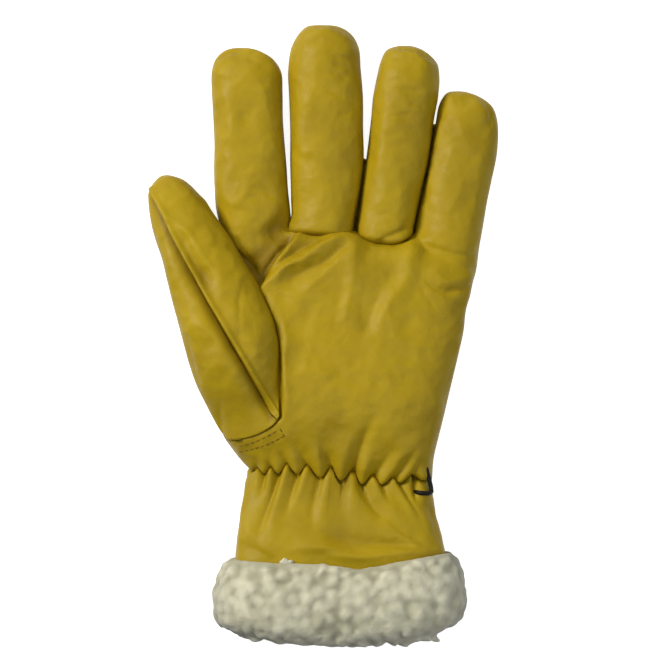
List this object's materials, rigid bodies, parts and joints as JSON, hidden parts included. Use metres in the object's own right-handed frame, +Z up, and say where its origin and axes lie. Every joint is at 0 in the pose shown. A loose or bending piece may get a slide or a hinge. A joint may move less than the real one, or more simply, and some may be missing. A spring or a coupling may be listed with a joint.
{
  "type": "insulated leather work glove",
  "caption": "Left-hand insulated leather work glove, palm up, with a shirred wrist and a rolled pile cuff, open inside for a hand.",
  "frame": {"origin": "point on the flattened back of the hand that rests on the surface, under the middle of the palm", "axes": "+X from the thumb to the little finger, +Y from the cuff to the fingertips, +Z up, out of the palm"},
  "size_m": [0.1568, 0.2762, 0.0559],
  "materials": {
    "leather": "golden grain leather, soft semi-matte sheen, wrinkled",
    "pile": "cream curly pile, matte",
    "hook": "black coated wire, satin"
  },
  "bodies": {
    "root": {"palm": "leather", "back": "leather", "middle_finger_front": "leather", "ring_finger_front": "leather", "thumb_inner": "leather", "thumb_outer": "leather", "cuff": "leather", "pile_cuff": "pile", "pair_hook": "hook"}
  },
  "joints": []
}
